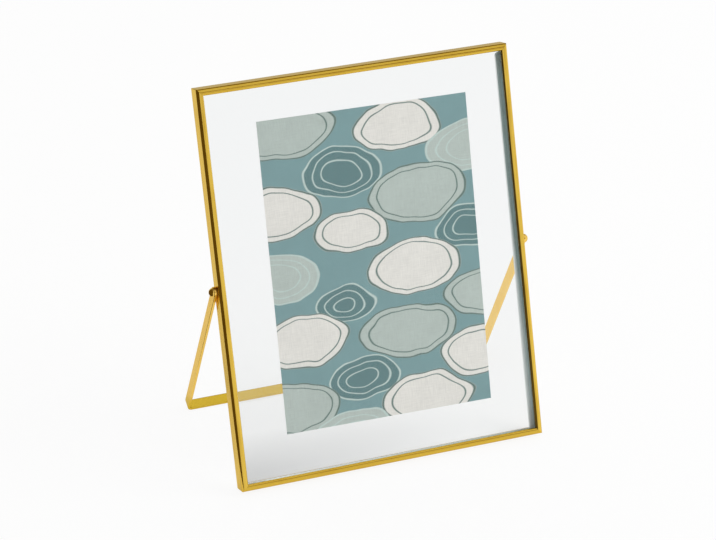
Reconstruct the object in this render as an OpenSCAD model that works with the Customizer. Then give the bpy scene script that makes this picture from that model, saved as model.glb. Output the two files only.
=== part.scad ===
// Glass picture frame: two panes in a brass channel frame, on a swing stand.
// The frame leans back on the rear edge of its bottom rail and on the bar of the stand.
// X runs to the right, Y to the back and Z up. The origin is on the ground, at the middle of the object.

/* [Frame] */
// Width of the frame over its side rails
frame_w = 187.6; // [150:0.2:300]
// Height of the frame over its top and bottom rails
frame_h = 234; // [200:1:380]
// Angle at which the frame leans back from upright
lean = 18.5; // [8:0.5:24]
// Radius of the frame's outer corners, seen from the front
corner_r = 0.5; // [0:0.1:1.1]

/* [Rails] */
// Width of a rail seen from the front
rail_face = 4; // [3.6:0.1:8]
// Thickness of the rail's outer wall
rail_web = 1.2; // [0.8:0.1:1.6]
// Thickness of the front lip, which the glass shows behind
front_lip = 1.5; // [1:0.1:2]
// Thickness of the rear lip
rear_lip = 1; // [0.8:0.1:1.5]
// Radius of the outer edge at the front
front_edge_r = 2; // [0.3:0.1:2]
// Radius of the front lip's inner edge
front_lip_r = 1.4; // [0.2:0.1:1.5]
// Radius of the outer edge at the back
back_edge_r = 0.6; // [0.3:0.1:1.1]
// Radius of the rear lip's inner edges
lip_edge_r = 0.4; // [0.1:0.05:0.4]
// How much shorter the rear lip is than the front lip, except where it is wide
rear_lip_short = 1; // [0.5:0.1:1.2]
// How far the wide rear lip of a side rail reaches in past its front lip
rear_lip_extra = 1.1; // [0.5:0.1:4]
// Gap between the top rail's front lip and the end of the wide rear lips
rear_lip_gap = 1.6; // [0.5:0.1:5]
// Radius of the wide rear lip's corner at its top end
rear_lip_r = 2.4; // [0.3:0.1:2.5]

/* [Glass and print] */
// Thickness of one pane
pane_t = 3; // [2:0.5:3]
// Radius of a pane's corners
pane_r = 1; // [0.5:0.1:3]
// Width of the print
print_w = 127; // [80:1:140]
// Height of the print
print_h = 182.5; // [100:0.5:190]
// Thickness of the print's paper
print_t = 0.2; // [0.1:0.05:0.4]
// Air between the print and each pane
print_room = 0.05; // [0.02:0.01:0.2]
// Angle of the print, clockwise seen from the front
print_turn = 0.7; // [0:0.05:2]
// How far the print's middle lies to the right of the frame's middle
print_x = 2.2; // [-3:0.1:3]
// How far the print's middle lies above the frame's middle
print_z = 1.5; // [-3:0.1:3]

/* [Lining] */
// Thickness of the lining in front of the glass
lining_front = 0.5; // [0.3:0.1:1]
// Thickness of the lining behind the glass
lining_rear = 1.5; // [0.5:0.1:2]
// Thickness of the lining at the glass's edge
lining_web = 1.3; // [1.1:0.1:1.4]
// How far the lining stays back from the front lip's edge
lining_set_back = 0.3; // [0.1:0.1:0.6]
// How far a side lining reaches past the wide rear lip's edge
lining_past = 0.4; // [0:0.1:0.6]

/* [Corner keys] */
// Length of each arm of a corner key, from the frame's outer face
key_arm = 16; // [10:1:30]

/* [Stand] */
// Gap between the bottom rail and the stand's bar, when the stand is folded flat
fold_gap = 6.5; // [5:0.25:24]
// Width of the stand's strip
strip_w = 6.3; // [4.5:0.1:8]
// Thickness of the stand's strip
strip_t = 1.6; // [1:0.1:2.5]
// Radius of the strip's long edges
strip_edge_r = 0.3; // [0.1:0.05:0.4]
// Radius inside the stand's two bends
bend_r = 1.5; // [1:0.5:6]

/* [Pivots] */
// Height of the pivots above the frame's middle
pivot_up = 0.3; // [-4:0.1:4]
// Gap between a backing washer and the rear lip beside it
pivot_room = 0.35; // [0.2:0.05:1]
// Diameter of the rivets' shanks
rivet_d = 2.5; // [2:0.1:3]
// Diameter of the rivets' domed heads
head_d = 5.4; // [4.4:0.1:6]
// Height of the rivets' domed heads
head_h = 2.4; // [0.6:0.1:2.6]
// Diameter of the rivets' peened ends
peen_d = 3.6; // [3.2:0.1:4]
// Thickness of the rivets' peened ends
peen_t = 0.5; // [0.3:0.05:0.6]
// Thickness of the spacer washers between the rails and the stand
spacer_t = 0.3; // [0.3:0.1:1.5]
// Diameter of the spacer washers
spacer_d = 5; // [4:0.1:5.2]
// Thickness of the backing washers inside the channels
backing_t = 0.3; // [0.2:0.05:0.4]
// Diameter of the backing washers
backing_d = 4.4; // [4:0.1:5]

/* [Fits] */
// Running clearance round a rivet's shank
pivot_clear = 0.05; // [0.02:0.01:0.1]
// Clearance on each side of the glass, and round the corner keys
slide_clear = 0.1; // [0.05:0.01:0.15]
// Seam at each mitre of the top rail
seam = 0.1; // [0.05:0.01:0.2]

/* [Hidden] */
$fn = 64;
eps = 0.01;

half_w = frame_w / 2;
half_h = frame_h / 2;

// Depths, counted back from the front face
slot_front = front_lip;
pane_front_y = slot_front + lining_front + slide_clear;
print_y = pane_front_y + pane_t + print_room;
pane_rear_y = print_y + print_t + print_room;
glass_back = pane_rear_y + pane_t;
lining_rear_y = glass_back + slide_clear;
slot_back = lining_rear_y + lining_rear;
rail_depth = slot_back + rear_lip;

// Distances in from the frame's outer faces
slot_in = rail_web;
glass_in = rail_web + lining_web;
short_in = rail_face - rear_lip_short;
wide_in = rail_face + rear_lip_extra;
mitre_reach = rail_face + 2;

pane_w = frame_w - 2 * (glass_in + slide_clear);
pane_h = frame_h - 2 * glass_in - slide_clear;
pane_bottom = glass_in - half_h;

// Pivots and stand, in the upright frame
pivot_y = slot_back - pivot_room - backing_d / 2;
leg_in = half_w + spacer_t + pivot_clear;
leg_out = leg_in + strip_t;
stand_len = half_h + pivot_up + fold_gap + strip_t / 2;

// Lowest and foremost points of the leaning frame, before it is set on the ground
back_edge_z = (back_edge_r - half_h) * cos(lean) - (rail_depth - back_edge_r) * sin(lean);
ground_z = back_edge_z - back_edge_r;
foremost_y = (front_edge_r - half_h) * sin(lean) + front_edge_r * cos(lean) - front_edge_r;
pivot_height = pivot_up * cos(lean) - pivot_y * sin(lean) - ground_z;
pivot_back = pivot_up * sin(lean) + pivot_y * cos(lean);

// The stand opens until the edge of its bar meets the ground
edge_down = stand_len + strip_t / 2 - strip_edge_r;
edge_back = strip_w / 2 - strip_edge_r;
edge_reach = norm([edge_down, edge_back]);
stand_slope = atan(edge_back / edge_down) + acos((pivot_height - strip_edge_r) / edge_reach);
stand_open = stand_slope + lean;
rearmost_y = pivot_back + edge_down * sin(stand_slope) + edge_back * cos(stand_slope) + strip_edge_r;
middle_y = (foremost_y + rearmost_y) / 2;

brass = [0.83, 0.66, 0.33];
bright_brass = [0.90, 0.74, 0.42];
clear_glass = [0.86, 0.93, 0.92, 0.35];
grey_green = [0.42, 0.48, 0.46];
print_tone = [0.55, 0.66, 0.66];

echo(stand_open = stand_open, pivot_y = pivot_back - middle_y, pivot_z = pivot_height);

// Sets the upright frame's space, with its origin at the middle of the front face, in its leaning place
module leaning() {
    translate([0, -middle_y, -ground_z])
        rotate([-lean, 0, 0])
            children();
}

// A rectangle whose corners have the radii r, counted from the origin and round by the X axis
module rounded_rect(w, h, r) {
    spots = [[0, 0, 0], [w, 0, 90], [w, h, 180], [0, h, 270]];
    difference() {
        square([w, h]);
        for (i = [0:3])
            if (r[i] > 0)
                translate([spots[i][0], spots[i][1]])
                    rotate(spots[i][2])
                        difference() {
                            translate([-eps, -eps])
                                square(r[i] + eps);
                            translate([r[i], r[i]])
                                circle(r[i]);
                        }
    }
}

// Section of a rail: X counts in from the outer face, Y back from the front face
module rail_section() {
    lip_r = min(front_lip_r, front_lip);
    lip_start = rail_face / 2;
    difference() {
        rounded_rect(rail_face, rail_depth, [front_edge_r, lip_r, 0, back_edge_r]);
        translate([slot_in, slot_front])
            square([rail_face, slot_back - slot_front]);
        translate([lip_start, slot_front])
            square([rail_face, rail_depth]);
    }
    translate([lip_start - eps, slot_back])
        rounded_rect(short_in - lip_start + eps, rear_lip, [0, lip_edge_r, lip_edge_r, 0]);
}

// Section of the lining inside a rail
module lining_section() {
    translate([slot_in, slot_front])
        square([lining_web, slot_back - slot_front]);
    translate([slot_in, slot_front])
        square([rail_face - slot_in - lining_set_back, lining_front]);
    translate([slot_in, lining_rear_y])
        square([short_in - slot_in, lining_rear]);
}

// Runs a section up the left side of a frame that is span high and across wide, mitred at both ends
module mitred_side(span, across, cut_back = 0) {
    intersection() {
        translate([-across / 2, 0, -span / 2 - eps])
            linear_extrude(span + 2 * eps)
                children();
        translate([-across / 2, -eps, 0])
            rotate([-90, 0, 0])
                linear_extrude(rail_depth + 2 * eps)
                    polygon([
                        [-eps, cut_back - span / 2 - eps],
                        [mitre_reach, cut_back + mitre_reach - span / 2],
                        [mitre_reach, span / 2 - mitre_reach - cut_back],
                        [-eps, span / 2 - cut_back + eps],
                    ]);
    }
}

// The frame's outline seen from the front, for its rounded outer corners
module frame_outline() {
    translate([0, rail_depth + 1, 0])
        rotate([90, 0, 0])
            linear_extrude(rail_depth + 2)
                translate([-half_w, -half_h])
                    rounded_rect(frame_w, frame_h, [corner_r, corner_r, corner_r, corner_r]);
}

// Wide strip at the back of the left rail, or of its lining: past is how far it reaches in and up past the lip
module wide_strip(depth, thick, edge_r, past) {
    start_in = rail_face / 2;
    across = wide_in + past - start_in;
    tall = frame_h - rail_face - rear_lip_gap + past - short_in;
    intersection() {
        translate([start_in - half_w, 0, short_in - half_h])
            linear_extrude(tall)
                translate([0, depth])
                    rounded_rect(across, thick, [0, edge_r, edge_r, 0]);
        translate([start_in - half_w, rail_depth + 1, short_in - half_h])
            rotate([90, 0, 0])
                linear_extrude(rail_depth + 2)
                    rounded_rect(across, tall, [0, 0, rear_lip_r, 0]);
    }
}

// A round bore or pin along X on the left pivot's axis, from x0 to x1 in the upright frame
module on_pivot(x0, x1, d) {
    translate([x0, pivot_y, pivot_up])
        rotate([0, 90, 0])
            cylinder(h = x1 - x0, d = d);
}

// Left side rail, upright
module side_rail() {
    difference() {
        union() {
            intersection() {
                mitred_side(frame_h, frame_w)
                    rail_section();
                frame_outline();
            }
            wide_strip(slot_back, rear_lip, lip_edge_r, 0);
        }
        on_pivot(-half_w - 1, -half_w + rail_web + eps, rivet_d + 2 * pivot_clear);
    }
}

// Bottom rail, upright; the top rail is the same piece turned over
module end_rail(cut_back = 0) {
    intersection() {
        rotate([0, -90, 0])
            mitred_side(frame_w, frame_h, cut_back)
                rail_section();
        frame_outline();
    }
}

// Clears the web of a lining at both ends, for the arms of the corner keys
module key_rooms(span, across) {
    room = key_arm + slide_clear;
    for (s = [-1, 1])
        translate([-across / 2 + slot_in - eps, slot_front + lining_front, s * (span / 2 - room / 2) - room / 2])
            cube([lining_web + 2 * eps, lining_rear_y - slot_front - lining_front, room]);
}

// Left lining, upright
module side_lining() {
    difference() {
        union() {
            mitred_side(frame_h, frame_w)
                lining_section();
            wide_strip(lining_rear_y, lining_rear, 0, lining_past);
        }
        key_rooms(frame_h, frame_w);
        on_pivot(-half_w + rail_web - eps, -half_w + glass_in + eps, backing_d + 2 * (pivot_room + slide_clear));
    }
}

// Bottom lining, upright
module end_lining(cut_back = 0) {
    rotate([0, -90, 0])
        difference() {
            mitred_side(frame_w, frame_h, cut_back)
                lining_section();
            key_rooms(frame_w, frame_h);
        }
}

// Corner key at the bottom left, upright: two arms in the channels' corners
module corner_key() {
    depth0 = slot_front + lining_front + slide_clear;
    thick = lining_web - 1.5 * slide_clear;
    start = slot_in + slide_clear / 2;
    translate([start - half_w, lining_rear_y - slide_clear, start - half_h])
        rotate([90, 0, 0])
            linear_extrude(lining_rear_y - slide_clear - depth0)
                difference() {
                    square(key_arm - start);
                    translate([thick, thick])
                        square(key_arm);
                }
}

module pane(depth) {
    translate([-pane_w / 2, depth + pane_t, pane_bottom])
        rotate([90, 0, 0])
            linear_extrude(pane_t)
                rounded_rect(pane_w, pane_h, [pane_r, pane_r, pane_r, pane_r]);
}

// Left pivot rivet: shank, domed head outside the leg and peened end inside the channel
module rivet() {
    head_x = leg_out - half_w + pivot_clear;
    dome_r = (head_d * head_d / 4 + head_h * head_h) / (2 * head_h);
    translate([-half_w, pivot_y, pivot_up])
        rotate([0, -90, 0])
            rotate_extrude() {
                translate([0, -rail_web - backing_t - peen_t / 2])
                    square([rivet_d / 2, head_x + rail_web + backing_t + peen_t / 2 + eps]);
                translate([0, -rail_web - backing_t - peen_t])
                    rounded_rect(peen_d / 2, peen_t, [0, peen_t / 3, 0, 0]);
                intersection() {
                    translate([0, head_x])
                        square([head_d / 2, head_h]);
                    translate([0, head_x + head_h - dome_r])
                        circle(dome_r);
                }
            }
}

// A washer on the left pivot, from x0 outwards to the left
module pivot_washer(x0, thick, d) {
    difference() {
        on_pivot(x0 - thick, x0, d);
        on_pivot(x0 - thick - 1, x0 + 1, rivet_d + 2 * pivot_clear);
    }
}

// The stand hanging from its pivots: legs down along Z, strip's width along Y
module bail() {
    bend_x = leg_in - bend_r;
    bend_z = stand_len - strip_t / 2 - bend_r;
    edges = [strip_edge_r, strip_edge_r, strip_edge_r, strip_edge_r];
    difference() {
        union() {
            for (side = [0, 1])
                mirror([side, 0, 0]) {
                    translate([leg_in, 0, -bend_z])
                        linear_extrude(bend_z)
                            translate([0, -strip_w / 2])
                                rounded_rect(strip_t, strip_w, edges);
                    translate([leg_in, 0, 0])
                        rotate([0, 90, 0])
                            rotate_extrude()
                                rounded_rect(strip_w / 2, strip_t, [0, strip_edge_r, strip_edge_r, 0]);
                    translate([bend_x, 0, -bend_z])
                        rotate([-90, 0, 0])
                            rotate_extrude(angle = 90)
                                translate([bend_r, -strip_w / 2])
                                    rounded_rect(strip_t, strip_w, edges);
                }
            translate([-bend_x, 0, -stand_len])
                rotate([90, 0, 90])
                    linear_extrude(2 * bend_x)
                        translate([-strip_w / 2, -strip_t / 2])
                            rounded_rect(strip_w, strip_t, edges);
        }
        for (side = [0, 1])
            mirror([side, 0, 0])
                translate([leg_in - 1, 0, 0])
                    rotate([0, 90, 0])
                        cylinder(h = strip_t + 2, d = rivet_d + 2 * pivot_clear);
    }
}

module rail_left() color(brass) leaning() side_rail();
module rail_right() color(brass) leaning() mirror([1, 0, 0]) side_rail();
module rail_bottom() color(brass) leaning() end_rail();
module rail_top() color(brass) leaning() mirror([0, 0, 1]) end_rail(seam);

module lining_left() color(grey_green) leaning() side_lining();
module lining_right() color(grey_green) leaning() mirror([1, 0, 0]) side_lining();
module lining_bottom() color(grey_green) leaning() end_lining();
module lining_top() color(grey_green) leaning() mirror([0, 0, 1]) end_lining(seam);

module key_bottom_left() color(brass) leaning() corner_key();
module key_bottom_right() color(brass) leaning() mirror([1, 0, 0]) corner_key();
module key_top_left() color(brass) leaning() mirror([0, 0, 1]) corner_key();
module key_top_right() color(brass) leaning() mirror([1, 0, 0]) mirror([0, 0, 1]) corner_key();

module glass_front() color(clear_glass) leaning() pane(pane_front_y);
module glass_rear() color(clear_glass) leaning() pane(pane_rear_y);

module print_sheet() {
    color(print_tone)
        leaning()
            translate([print_x, print_y, print_z])
                rotate([0, print_turn, 0])
                    translate([-print_w / 2, 0, -print_h / 2])
                        cube([print_w, print_t, print_h]);
}

module rivet_left() color(bright_brass) leaning() rivet();
module rivet_right() color(bright_brass) leaning() mirror([1, 0, 0]) rivet();

module spacer_left() color(brass) leaning() pivot_washer(-half_w, spacer_t, spacer_d);
module spacer_right() color(brass) leaning() mirror([1, 0, 0]) pivot_washer(-half_w, spacer_t, spacer_d);

module backing_left() {
    color(brass) leaning() pivot_washer(-half_w + rail_web + backing_t, backing_t, backing_d);
}
module backing_right() {
    color(brass) leaning() mirror([1, 0, 0]) pivot_washer(-half_w + rail_web + backing_t, backing_t, backing_d);
}

module stand_bail() {
    color(bright_brass)
        leaning()
            translate([0, pivot_y, pivot_up])
                rotate([stand_open, 0, 0])
                    bail();
}

rail_left();
rail_right();
rail_bottom();
rail_top();
lining_left();
lining_right();
lining_bottom();
lining_top();
key_bottom_left();
key_bottom_right();
key_top_left();
key_top_right();
glass_front();
glass_rear();
print_sheet();
rivet_left();
rivet_right();
spacer_left();
spacer_right();
backing_left();
backing_right();
stand_bail();
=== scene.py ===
import math

import bpy
from mathutils import Matrix, Vector


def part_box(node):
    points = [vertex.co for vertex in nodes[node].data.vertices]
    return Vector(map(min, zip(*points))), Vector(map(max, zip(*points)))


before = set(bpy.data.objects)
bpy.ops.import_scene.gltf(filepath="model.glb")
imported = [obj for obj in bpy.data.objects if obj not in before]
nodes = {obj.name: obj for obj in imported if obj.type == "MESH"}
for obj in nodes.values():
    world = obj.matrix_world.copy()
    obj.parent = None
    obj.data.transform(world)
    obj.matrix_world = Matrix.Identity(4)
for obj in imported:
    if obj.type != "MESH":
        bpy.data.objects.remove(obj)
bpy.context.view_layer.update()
MM = 0.001
QUARTER_TURN = math.pi / 2

# The frame's own slants, in radians: it leans back, and the loose print lies a little turned
# between its panes
LEAN = math.radians(18.5)
PRINT_TURN = math.radians(0.7)

# The middle of the frame's front face, in metres
FRAME_MIDDLE = Vector((0, -0.015949, 0.114285))

# How far to each side of the middle the lips, the side linings and the rails end, and a depth just
# behind the front lips, which are 1.5 mm thick, in millimetres
SIDE_LIP_INNER = 89.8
SIDE_LINING_INNER = 88.3
RAIL_OUTER = 93.8
BEHIND_LIPS = 1.6

# Where the photograph was taken from, in radians and metres, and the lens, in millimetres
CAMERA_AZIMUTH = math.radians(20.76)
CAMERA_HEIGHT_ANGLE = math.radians(29.4)
CAMERA_ROLL = math.radians(0.6)
CAMERA_DISTANCE = 1.6006
CAMERA_LENS = 140.1
CAMERA_NEAR = 0.05
CAMERA_AIM = Vector((-0.00964, -0.01312, 0.11291))

# Light levels: the light that falls on surfaces from all round, and how bright the far
# surroundings show to the camera and in metal and glass
ROOM_LIGHT = 0.64
SHOWN_WHITE = 1.0
MIRRORED_WHITE = 0.8

# The floor's size, in metres, and how much of its shown brightness is its own, with the rest left
# to light and shadow: to the camera, in metal and through glass
FLOOR_SIZE = 8
FLOOR_GLOW = 0.9
FLOOR_GLOW_IN_METAL = 0.5
FLOOR_GLOW_IN_GLASS = 0.6

# The floor's faint patches, in waves per metre, and how much of their colour shows
FLOOR_PATCHES = 0.4
PATCH_SHARE = (0.0, 0.1)

# The painted shadow behind the frame's left foot: how dark it is at its deepest, and where on the
# floor it is deepest and where it ends, to the right and to the back, in metres
PAINTED_CORNER_SHADE = 0.34
SHADE_RIGHTWARDS = (-0.085, 0.06)
SHADE_BACKWARDS = (-0.03, 0.012)


def srgb(red, green, blue):
    """A colour given as 0 to 255 screen values, as the linear colour that a shader takes."""
    linear = []
    for value in (red, green, blue):
        part = value / 255
        linear.append(part / 12.92 if part <= 0.04045 else ((part + 0.055) / 1.055) ** 2.4)
    return (*linear, 1.0)


# Colours, as they show on the screen in plain light
FRAME_BRASS = srgb(243, 204, 88)
# The top and bottom rails' brass: the frame's brass, painted darker as shade for the darker
# reflections they catch
SHADED_LEVEL_BRASS = srgb(226, 187, 72)
# A brown painted on as shade where the right rail's front lip meets the glass
PAINTED_SHADE_BROWN = srgb(92, 70, 22)
# The stand's and rivets' brass: their own gold, painted lighter than the frame's as light for the
# brighter reflections on them
LIT_STAND_BRASS = srgb(255, 214, 112)
# A deeper gold painted on as shade where the stand's bar lies near the ground
SHADED_LOW_BRASS = srgb(232, 196, 66)
INNER_BRASS = srgb(176, 142, 70)
BRASS_SHADE = srgb(216, 174, 62)
# The stand's tarnish colour, painted lighter than the frame's as light
LIT_STAND_TARNISH = srgb(250, 204, 96)
BRASS_RIM = srgb(238, 228, 198)
LINING_GREEN = srgb(158, 182, 178)
LINING_DARK = srgb(140, 160, 156)
# A pale painted on the linings as light where it gets in through the glass
PAINTED_LIGHT_PALE = srgb(246, 250, 249)
TEAL = srgb(118, 159, 162)
DEEP_TEAL = srgb(84, 128, 130)
SAGE = srgb(188, 201, 194)
CREAM = srgb(241, 238, 231)
INK = srgb(84, 116, 108)
MINT = srgb(198, 217, 211)
PAPER = srgb(238, 236, 230)
FLOOR_WHITE = srgb(248, 248, 247)
FLAG_BROWN = srgb(96, 80, 42)
FLAG_OLIVE = srgb(120, 104, 60)
FLAG_GREY = srgb(212, 212, 200)
FLAG_TAN = srgb(150, 130, 90)

# Colours given as a shader takes them
GLASS_TINT = (0.996, 0.999, 1.0, 1.0)
FLOOR_GREY = (0.85, 0.85, 0.84, 1)
WHITE = (1, 1, 1, 1)

# The stretch of a cloudy pattern's values that most tones are spread over
MOST_CLOUDS = (0.3, 0.7)


# Short ways to make shader nodes


class Tree:
    """A material's node tree, with short ways to add the nodes that these materials use."""

    def __init__(self, name):
        self.material = bpy.data.materials.new(name)
        self.material.use_nodes = True
        self.tree = self.material.node_tree
        self.tree.nodes.clear()
        self.output = self.add("ShaderNodeOutputMaterial")

    def add(self, kind, **settings):
        node = self.tree.nodes.new(kind)
        for name, value in settings.items():
            setattr(node, name, value)
        return node

    def feed(self, socket, value):
        """Links an output to a socket, or writes a plain value on it."""
        if isinstance(value, bpy.types.NodeSocket):
            self.tree.links.new(value, socket)
        else:
            socket.default_value = value

    def math(self, operation, *values, clamp=False):
        node = self.add("ShaderNodeMath", operation=operation, use_clamp=clamp)
        for place, value in enumerate(values):
            self.feed(node.inputs[place], value)
        return node.outputs[0]

    def vector(self, operation, *values):
        node = self.add("ShaderNodeVectorMath", operation=operation)
        for place, value in enumerate(values):
            self.feed(node.inputs[place], value)
        return node.outputs["Value" if operation == "DISTANCE" else "Vector"]

    def mix(self, share, first, second):
        """Mixes two colours."""
        node = self.add("ShaderNodeMix", data_type="RGBA")
        self.feed(node.inputs["Factor"], share)
        self.feed(node.inputs["A"], first)
        self.feed(node.inputs["B"], second)
        return node.outputs["Result"]

    def blend(self, share, first, second):
        """Mixes two shaders."""
        node = self.add("ShaderNodeMixShader")
        self.feed(node.inputs[0], share)
        self.feed(node.inputs[1], first.outputs[0])
        self.feed(node.inputs[2], second.outputs[0])
        return node

    def between(self, value, low, high, to_low, to_high, smooth=False):
        """Maps value from low..high to to_low..to_high and keeps it in that range."""
        kind = "SMOOTHSTEP" if smooth else "LINEAR"
        node = self.add("ShaderNodeMapRange", interpolation_type=kind)
        for place, number in enumerate((value, low, high, to_low, to_high)):
            self.feed(node.inputs[place], number)
        return node.outputs["Result"]

    def noise(self, place, scale, detail=2.0):
        """A cloudy pattern, mostly between 0.25 and 0.75, with scale in waves per unit of place."""
        node = self.add("ShaderNodeTexNoise")
        self.feed(node.inputs["Vector"], place)
        node.inputs["Scale"].default_value = scale
        node.inputs["Detail"].default_value = detail
        return node.outputs["Fac"]

    def object_place(self):
        """Object coordinates, which on the CAD nodes are metres in the object's own frame."""
        return self.add("ShaderNodeTexCoord").outputs["Object"]

    def in_frame(self, centre=FRAME_MIDDLE, turn=0.0, stretch=(1, 1, 1)):
        """Object coordinates in millimetres along the leaning frame: right, back and up."""
        place = self.add("ShaderNodeMapping", vector_type="TEXTURE")
        slant = Matrix.Rotation(-LEAN, 3, "X") @ Matrix.Rotation(turn, 3, "Y")
        place.inputs["Location"].default_value = centre
        place.inputs["Rotation"].default_value = slant.to_euler("XYZ")
        place.inputs["Scale"].default_value = [MM * s for s in stretch]
        self.feed(place.inputs["Vector"], self.object_place())
        return place.outputs["Vector"]

    def parts(self, place):
        """The three parts of a place, by name."""
        node = self.add("ShaderNodeSeparateXYZ")
        self.feed(node.inputs[0], place)
        return dict(zip(("right", "back", "up"), node.outputs))

    def bump(self, height, strength, depth):
        node = self.add("ShaderNodeBump")
        node.inputs["Strength"].default_value = strength
        node.inputs["Distance"].default_value = depth
        self.feed(node.inputs["Height"], height)
        return node.outputs["Normal"]

    def finish(self, shader):
        self.feed(self.output.inputs["Surface"], shader.outputs[0])
        return self.material


# Materials: the brass

# Which way the polishing lines run, as how many times longer they are to the right, back and up
ALONG_UP = (1, 1, 25)
ALONG_RIGHT = (25, 1, 1)
EVENLY = (1, 1, 1)

# How fine the brass's patches, polishing lines and streaks are, in waves per millimetre across
# the strip, and how deep the lines are, in metres
BRASS_PATCHES = 0.045
BRASS_LINES = 2.2
BRASS_STREAKS = 0.75
LINE_DEPTH = 0.02 * MM

# The patches' and the streaks' values that tarnish is spread over, and how much tarnish each adds
# from the low one to the high one
PATCH_CLOUDS = (0.42, 0.75)
PATCH_TARNISH = (0.0, 0.5)
STREAK_CLOUDS = (0.35, 0.65)
STREAK_TARNISH = (-0.25, 0.5)

# How rough each polish is, from its smoothest to its roughest
FRAME_POLISH = (0.1, 0.2)
STAND_POLISH = (0.12, 0.24)
RIVET_POLISH = (0.1, 0.18)
SATIN = (0.3, 0.45)

# The brown painted as shade on the right rail's front lip, in millimetres: how far it reaches
# outwards from the lip's inner edge at two heights from the frame's middle, and how softly it ends
PAINTED_SHADE_HEIGHTS = (60, -60)
PAINTED_SHADE_WIDTHS = (0.6, 1.05)
PAINTED_SHADE_BLUR = 0.2

# Heights over the ground, in metres, between which painted shade deepens the stand's gold
STILL_PALE = 14 * MM
FULLY_DEEP = 8 * MM


def painted_shade_right_edge(m, colour):
    """Painted shade: brown where the front lip of the right rail turns in to the glass."""
    place = m.parts(m.in_frame())
    ends = [SIDE_LIP_INNER + width for width in PAINTED_SHADE_WIDTHS]
    painted_shade_end = m.between(place["up"], *PAINTED_SHADE_HEIGHTS, *ends)
    inner = m.between(place["right"], m.math("ADD", painted_shade_end, PAINTED_SHADE_BLUR), painted_shade_end, 0, 1)
    on_right_side = m.between(place["right"], 0, 1, 0, 1)
    on_lip = m.between(place["back"], BEHIND_LIPS + PAINTED_SHADE_BLUR, BEHIND_LIPS, 0, 1)
    on_right_lip = m.math("MULTIPLY", on_right_side, on_lip)
    return m.mix(m.math("MULTIPLY", inner, on_right_lip), colour, PAINTED_SHADE_BROWN)


def painted_shade_near_ground(m, colour):
    """Painted shade: a deeper gold on the stand's bar, which lies just above the ground."""
    height = m.parts(m.object_place())["up"]
    return m.mix(m.between(height, STILL_PALE, FULLY_DEEP, 0, 1), colour, SHADED_LOW_BRASS)


def brass(name, colour, shade, polish, stretch, toned=None):
    """Polished brass: a faint tarnish in patches and streaks, and fine polishing lines."""
    m = Tree(name)
    along = m.in_frame(stretch=stretch)
    patches = m.noise(m.in_frame(), BRASS_PATCHES, detail=3.0)
    lines = m.noise(along, BRASS_LINES, detail=2.0)
    streaks = m.noise(along, BRASS_STREAKS, detail=1.0)
    in_patches = m.between(patches, *PATCH_CLOUDS, *PATCH_TARNISH, smooth=True)
    in_streaks = m.between(streaks, *STREAK_CLOUDS, *STREAK_TARNISH)
    tarnish = m.math("ADD", in_patches, in_streaks, clamp=True)
    metal = m.mix(tarnish, colour, shade)
    if toned:
        metal = toned(m, metal)
    surface = m.add("ShaderNodeBsdfPrincipled")
    m.feed(surface.inputs["Base Color"], metal)
    surface.inputs["Metallic"].default_value = 1.0
    surface.inputs["Specular Tint"].default_value = BRASS_RIM
    m.feed(surface.inputs["Roughness"], m.between(lines, *MOST_CLOUDS, *polish))
    m.feed(surface.inputs["Normal"], m.bump(lines, 0.12, LINE_DEPTH))
    return m.finish(surface)


# Materials: the linings

# How wide the painted light on a side lining's inner edge is, in millimetres, at two heights from
# the frame's middle, and how pale the painted light leaves a level lining at its left and right
# ends
PALE_HEIGHTS = (40, -60)
PALE_WIDTHS = (0.2, 3.4)
PALE_ENDS = (1.0, 0.25)

# The rubber's grain, in waves per millimetre, its depth, in metres, the values of it that the two
# greens are spread over, and how rough it is
RUBBER_GRAIN = 3.0
GRAIN_DEPTH = 0.05 * MM
GREEN_CLOUDS = (0.35, 0.7)
RUBBER_ROUGHNESS = (0.5, 0.7)


def painted_light_inner_edge(m, place):
    """Painted light on a side lining: palest at its inner edge, and over more of its width lower
    down.
    """
    reach = m.between(place["up"], *PALE_HEIGHTS, *PALE_WIDTHS)
    painted_light_end = m.math("ADD", reach, SIDE_LINING_INNER)
    return m.between(m.math("ABSOLUTE", place["right"]), SIDE_LINING_INNER, painted_light_end, 1, 0)


def painted_light_to_the_left(m, place):
    """Painted light on a level lining: palest at the left."""
    return m.between(place["right"], -RAIL_OUTER, RAIL_OUTER, *PALE_ENDS)


def lining_rubber(name, painted_light):
    """Matt grey-green rubber with a fine grain and painted light, paler where light gets into it.
    """
    m = Tree(name)
    place = m.in_frame()
    grain = m.noise(place, RUBBER_GRAIN, detail=3.0)
    green = m.mix(m.between(grain, *GREEN_CLOUDS, 0, 1), LINING_GREEN, LINING_DARK)
    surface = m.add("ShaderNodeBsdfPrincipled")
    m.feed(surface.inputs["Base Color"], m.mix(painted_light(m, m.parts(place)), green, PAINTED_LIGHT_PALE))
    m.feed(surface.inputs["Roughness"], m.between(grain, *MOST_CLOUDS, *RUBBER_ROUGHNESS))
    m.feed(surface.inputs["Normal"], m.bump(grain, 0.2, GRAIN_DEPTH))
    return m.finish(surface)


# Materials: the glass and the print


def pane_glass():
    """Clear glass, which lets lamps and diffuse light straight through."""
    m = Tree("pane_glass")
    path = m.add("ShaderNodeLightPath")
    glass = m.add("ShaderNodeBsdfGlass")
    glass.inputs["Color"].default_value = GLASS_TINT
    glass.inputs["Roughness"].default_value = 0.0
    glass.inputs["IOR"].default_value = 1.5
    clear = m.add("ShaderNodeBsdfTransparent")
    clear.inputs["Color"].default_value = GLASS_TINT
    passing = m.math("MAXIMUM", path.outputs["Is Shadow Ray"], path.outputs["Is Diffuse Ray"])
    return m.finish(m.blend(passing, glass, clear))


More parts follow.
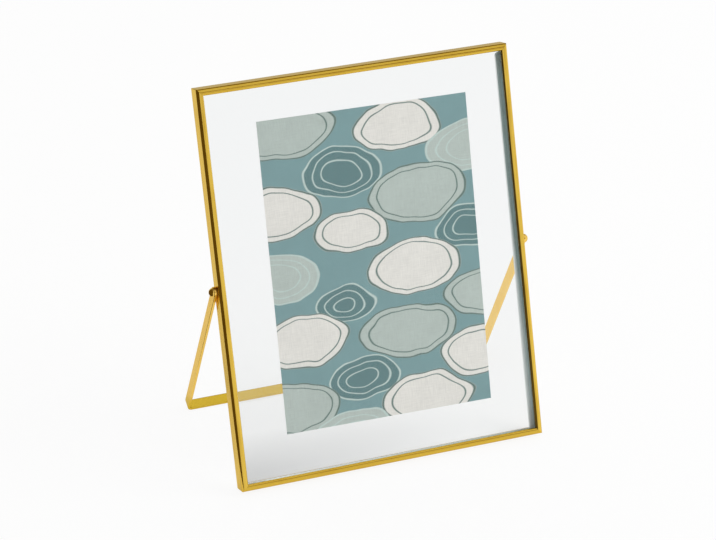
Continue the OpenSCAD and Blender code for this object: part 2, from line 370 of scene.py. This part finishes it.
# The printed design: flat pebbles, painted from the back to the front. Each is its middle's place
# to the right and up from the sheet's middle, in millimetres, its size, its colour and its pen.
# The squash scales each place to the right and up before the pebbles are drawn round, so that
# they come out wider than they are high.
PEBBLE_SQUASH = (0.62, 0, 1.12)
PEBBLES = [
    ((-50, 84), 20, SAGE, "ink"),
    ((20, 78), 17, CREAM, "ink"),
    ((64, 60), 18, SAGE, "mint"),
    ((-16, 56), 15, DEEP_TEAL, "mint"),
    ((-56, 38), 17, CREAM, "ink"),
    ((28, 38), 19, SAGE, "ink"),
    ((-14, 20), 15, CREAM, "ink"),
    ((62, 14), 15, DEEP_TEAL, "mint"),
    ((-60, 0), 16, SAGE, "mint"),
    ((24, -4), 18, CREAM, "ink"),
    ((-20, -20), 12, DEEP_TEAL, "mint"),
    ((66, -26), 17, SAGE, "ink"),
    ((-48, -38), 18, CREAM, "ink"),
    ((16, -42), 18, SAGE, "ink"),
    ((60, -60), 16, CREAM, "ink"),
    ((-14, -66), 14, DEEP_TEAL, "mint"),
    ((-60, -78), 19, SAGE, "ink"),
    ((24, -84), 18, CREAM, "ink"),
    ((-22, -96), 14, SAGE, "mint"),
]

# The two pens, how far in from a pebble's edge their lines lie, how wide its rim and its lines are,
# and how softly paint ends, in millimetres
PENS = {"ink": INK, "mint": MINT}
LINE_GAPS = {"ink": (3.6,), "mint": (4, 8)}
RIM = 0.8
LINE = 0.6
SOFT_EDGE = 0.2

# How far a pebble's edge wanders from side to side, in millimetres, and in how many waves per
# millimetre
WOBBLE = 12
WOBBLE_WAVES = 0.032

# The linen's threads across and up the sheet, as how long they are each way, in millimetres,
# how deep they are, in metres, and how fine the paper's blotches are, in waves per millimetre
WEFT = (7, 1, 0.5)
WARP = (0.5, 1, 7)
LINEN_DEPTH = 0.04 * MM
BLOTCHES = 0.06

# How bright the weft leaves the print, how much the warp and the blotches then add, and the
# values of the threads' patterns that this is spread over
WEFT_SHADES = (0.9, 1.0)
WARP_SHADES = (-0.05, 0.07)
BLOTCH_SHADES = (-0.03, 0.03)
THREAD_CLOUDS = (0.25, 0.75)

# How far behind the sheet's middle the design ends and its plain back begins, in millimetres
PLAIN_BACK = (0.03, 0.06)


def pebble(m, under, away, radius, tone, pen):
    """One pebble painted over what lies under it: its colour, its rim and its inner lines."""
    inside = m.between(away, radius + SOFT_EDGE, radius - SOFT_EDGE, 0, 1)
    colour = m.mix(inside, under, tone)
    strokes = [(radius - RIM / 2, RIM)]
    strokes += [(radius - gap, LINE) for gap in LINE_GAPS[pen]]
    for ring, width in strokes:
        off_line = m.math("ABSOLUTE", m.math("SUBTRACT", away, ring))
        on_line = m.between(off_line, width / 2 + SOFT_EDGE, width / 2 - SOFT_EDGE, 0, 1)
        colour = m.mix(on_line, colour, PENS[pen])
    return colour


def pebble_design(m, flat):
    """All the pebbles on their teal ground, for a place on the sheet."""
    wobble = m.add("ShaderNodeTexNoise")
    m.feed(wobble.inputs["Vector"], flat)
    wobble.inputs["Scale"].default_value = WOBBLE_WAVES
    to_both_sides = (-WOBBLE / 2, 0, -WOBBLE / 2)
    shift = m.vector("MULTIPLY_ADD", wobble.outputs["Color"], (WOBBLE, 0, WOBBLE), to_both_sides)
    drawn = m.vector("MULTIPLY", m.vector("ADD", flat, shift), PEBBLE_SQUASH)
    colour = TEAL
    for (right, up), radius, tone, pen in PEBBLES:
        middle = (right * PEBBLE_SQUASH[0], 0, up * PEBBLE_SQUASH[2])
        away = m.vector("DISTANCE", drawn, middle)
        colour = pebble(m, colour, away, radius, tone, pen)
    return colour


def printed_sheet():
    """A print on linen-grained paper, with a plain back."""
    m = Tree("printed_sheet")
    low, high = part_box("print_sheet")
    middle = (low + high) / 2
    place = m.in_frame(middle, PRINT_TURN)
    flat = m.vector("MULTIPLY", place, (1, 0, 1))
    on_back = m.between(m.parts(place)["back"], *PLAIN_BACK, 0, 1)
    colour = m.mix(on_back, pebble_design(m, flat), PAPER)

    weft = m.noise(m.in_frame(middle, PRINT_TURN, WEFT), 1.0)
    warp = m.noise(m.in_frame(middle, PRINT_TURN, WARP), 1.0)
    blotch = m.noise(flat, BLOTCHES, detail=3.0)
    grain = m.between(weft, *THREAD_CLOUDS, *WEFT_SHADES)
    grain = m.math("ADD", grain, m.between(warp, *THREAD_CLOUDS, *WARP_SHADES))
    grain = m.math("ADD", grain, m.between(blotch, *MOST_CLOUDS, *BLOTCH_SHADES))
    surface = m.add("ShaderNodeBsdfPrincipled")
    m.feed(surface.inputs["Base Color"], m.vector("MULTIPLY", colour, grain))
    surface.inputs["Roughness"].default_value = 0.75
    m.feed(surface.inputs["Normal"], m.bump(m.math("ADD", weft, warp), 0.3, LINEN_DEPTH))
    return m.finish(surface)


def give(material, *names):
    """Puts a material on the named CAD nodes."""
    for name in names:
        for slot in nodes[name].material_slots:
            slot.material = material


# The upright rails' brass carries the painted shade on the right rail's lip
frame_upright = brass(
    "frame_brass_upright", FRAME_BRASS, BRASS_SHADE, FRAME_POLISH, ALONG_UP, painted_shade_right_edge
)
# The top and bottom rails get the brass painted darker as shade
shaded_frame_level = brass("frame_brass_level_painted_shade", SHADED_LEVEL_BRASS, BRASS_SHADE, FRAME_POLISH, ALONG_RIGHT)
stand_brass = brass(
    "stand_brass", LIT_STAND_BRASS, LIT_STAND_TARNISH, STAND_POLISH, ALONG_UP, painted_shade_near_ground
)
rivet_brass = brass("rivet_brass", LIT_STAND_BRASS, BRASS_SHADE, RIVET_POLISH, EVENLY)
inner_brass = brass("inner_brass", INNER_BRASS, BRASS_SHADE, SATIN, EVENLY)
give(frame_upright, "rail_left", "rail_right")
give(shaded_frame_level, "rail_top", "rail_bottom")
give(stand_brass, "stand_bail")
give(rivet_brass, "rivet_left", "rivet_right")
give(inner_brass, "spacer_left", "spacer_right", "backing_left", "backing_right")
give(inner_brass, "key_bottom_left", "key_bottom_right", "key_top_left", "key_top_right")
give(lining_rubber("lining_upright", painted_light_inner_edge), "lining_left", "lining_right")
give(lining_rubber("lining_level", painted_light_to_the_left), "lining_bottom", "lining_top")
give(pane_glass(), "glass_front", "glass_rear")
give(printed_sheet(), "print_sheet")


# The room: a pale floor, cards that the brass mirrors, soft lamps and a white surround


def floor_glow(m):
    """How much of the floor's brightness is its own. None of that lights other surfaces."""
    path = m.add("ShaderNodeLightPath")
    straight = m.math("MULTIPLY", path.outputs["Is Camera Ray"], FLOOR_GLOW)
    in_metal = m.math("MULTIPLY", path.outputs["Is Glossy Ray"], FLOOR_GLOW_IN_METAL)
    in_glass = m.math("MULTIPLY", path.outputs["Is Transmission Ray"], FLOOR_GLOW_IN_GLASS)
    return m.math("MAXIMUM", straight, m.math("MAXIMUM", in_metal, in_glass))


def painted_corner_shade(m, place):
    """The soft painted shadow behind the frame's left foot, as far as it shows through the glass.
    """
    place = m.parts(place)
    across = m.between(place["right"], *SHADE_RIGHTWARDS, PAINTED_CORNER_SHADE, 0.0)
    deep = m.between(place["back"], *SHADE_BACKWARDS, 1.0, 0.0)
    through_glass = m.add("ShaderNodeLightPath").outputs["Is Transmission Ray"]
    darkness = m.math("MULTIPLY", m.math("MULTIPLY", across, deep), through_glass)
    return m.math("SUBTRACT", 1.0, darkness)


def floor_paint():
    """Pale matt floor with a painted shadow behind the frame's left foot, and part of its shown
    brightness not depending on the light.
    """
    m = Tree("floor_paint")
    place = m.vector("MULTIPLY", m.object_place(), (FLOOR_SIZE, FLOOR_SIZE, 1))
    shade = painted_corner_shade(m, place)
    patches = m.noise(place, FLOOR_PATCHES)
    paint = m.mix(m.between(patches, *MOST_CLOUDS, *PATCH_SHARE), FLOOR_WHITE, FLOOR_GREY)
    matt = m.add("ShaderNodeBsdfDiffuse")
    m.feed(matt.inputs["Color"], m.vector("MULTIPLY", paint, shade))
    glow = m.add("ShaderNodeEmission")
    glow.inputs["Color"].default_value = WHITE
    m.feed(glow.inputs["Strength"], m.math("MULTIPLY", shade, SHOWN_WHITE))
    return m.finish(m.blend(floor_glow(m), matt, glow))


def flag_cloth(name, colour):
    """A card's face, which keeps its colour whatever the light."""
    m = Tree(name)
    own = m.add("ShaderNodeEmission")
    own.inputs["Color"].default_value = colour
    own.inputs["Strength"].default_value = 1.0
    return m.finish(own)


def sheet_of(name, middle, size, turn, material):
    """A flat stage card: its middle and its two sides in metres, and its turn from lying flat."""
    bpy.ops.object.select_all(action="DESELECT")
    bpy.ops.mesh.primitive_plane_add(size=1, location=middle, rotation=turn)
    card = bpy.context.object
    card.name = name
    card.scale = (size[0], size[1], 1)
    card.data.materials.append(material)
    return card


def flag(name, middle, size, turn, colour):
    """A card that shows only where metal or glass mirrors it."""
    card = sheet_of(name, middle, size, turn, flag_cloth(name, colour))
    card.visible_camera = False
    card.visible_diffuse = False
    card.visible_shadow = False
    card.visible_transmission = False


def soft_lamp(name, middle, width, watts, target):
    """A square lamp, turned to its target, that shows neither in metal nor through glass."""
    lamp = bpy.data.lights.new(name, "AREA")
    lamp.shape = "SQUARE"
    lamp.size = width
    lamp.energy = watts
    holder = bpy.data.objects.new(name, lamp)
    holder.location = middle
    holder.rotation_euler = (Vector(target) - Vector(middle)).to_track_quat("-Z", "Y").to_euler()
    holder.visible_glossy = False
    holder.visible_transmission = False
    bpy.context.scene.collection.objects.link(holder)


LYING = (0, 0, 0)
FACING_SIDEWAYS = (0, QUARTER_TURN, 0)
FACING_FORWARDS = (QUARTER_TURN, 0, 0)
sheet_of("floor", (0, 0, 0), (FLOOR_SIZE, FLOOR_SIZE), LYING, floor_paint())
flag("flag_left", (-0.13, -0.01, 0.2), (0.4, 0.16), FACING_SIDEWAYS, FLAG_BROWN)
flag("flag_back_low", (0.4, 0.7, 0.14), (3.0, 0.28), FACING_FORWARDS, FLAG_GREY)
flag("flag_overhead", (0.35, 0.68, 0.9), (1.6, 0.9), LYING, FLAG_OLIVE)
flag("flag_front", (0.75, -1.6, 0.94), (0.9, 0.72), FACING_FORWARDS, FLAG_TAN)

OBJECT_MIDDLE = (0, 0, 0.11)
soft_lamp("lamp_right", (1.25, -0.6, 1.0), width=0.9, watts=10.0, target=OBJECT_MIDDLE)
soft_lamp("lamp_back", (0.3, 1.2, 1.4), width=1.2, watts=4.0, target=OBJECT_MIDDLE)


def white_room():
    """An even white surround, with one level for light on surfaces and its own for what is seen."""
    world = bpy.data.worlds.new("white_room")
    bpy.context.scene.world = world
    world.use_nodes = True
    tree = world.node_tree
    tree.nodes.clear()
    path = tree.nodes.new("ShaderNodeLightPath")
    background = tree.nodes.new("ShaderNodeBackground")
    background.inputs["Color"].default_value = WHITE
    output = tree.nodes.new("ShaderNodeOutputWorld")
    shown = {
        "Is Glossy Ray": MIRRORED_WHITE,
        "Is Transmission Ray": MIRRORED_WHITE,
        "Is Camera Ray": SHOWN_WHITE,
    }
    strength = None
    for kind, level in shown.items():
        step = tree.nodes.new("ShaderNodeMapRange")
        step.inputs["To Min"].default_value = ROOM_LIGHT
        step.inputs["To Max"].default_value = level
        tree.links.new(path.outputs[kind], step.inputs["Value"])
        if strength:
            tree.links.new(strength, step.inputs["To Min"])
        strength = step.outputs["Result"]
    tree.links.new(strength, background.inputs["Strength"])
    tree.links.new(background.outputs[0], output.inputs["Surface"])


def photograph_camera():
    """The camera at the photograph's place."""
    sight = Vector((
        math.sin(CAMERA_AZIMUTH) * math.cos(CAMERA_HEIGHT_ANGLE),
        math.cos(CAMERA_AZIMUTH) * math.cos(CAMERA_HEIGHT_ANGLE),
        -math.sin(CAMERA_HEIGHT_ANGLE),
    ))
    lens = bpy.data.cameras.new("camera")
    lens.lens = CAMERA_LENS
    lens.clip_start = CAMERA_NEAR
    camera = bpy.data.objects.new("camera", lens)
    camera.location = CAMERA_AIM - sight * CAMERA_DISTANCE
    level = sight.to_track_quat("-Z", "Y").to_matrix()
    camera.rotation_euler = (level @ Matrix.Rotation(CAMERA_ROLL, 3, "Z")).to_euler()
    bpy.context.scene.collection.objects.link(camera)
    bpy.context.scene.camera = camera


white_room()
photograph_camera()
bpy.context.scene.view_settings.view_transform = "Standard"
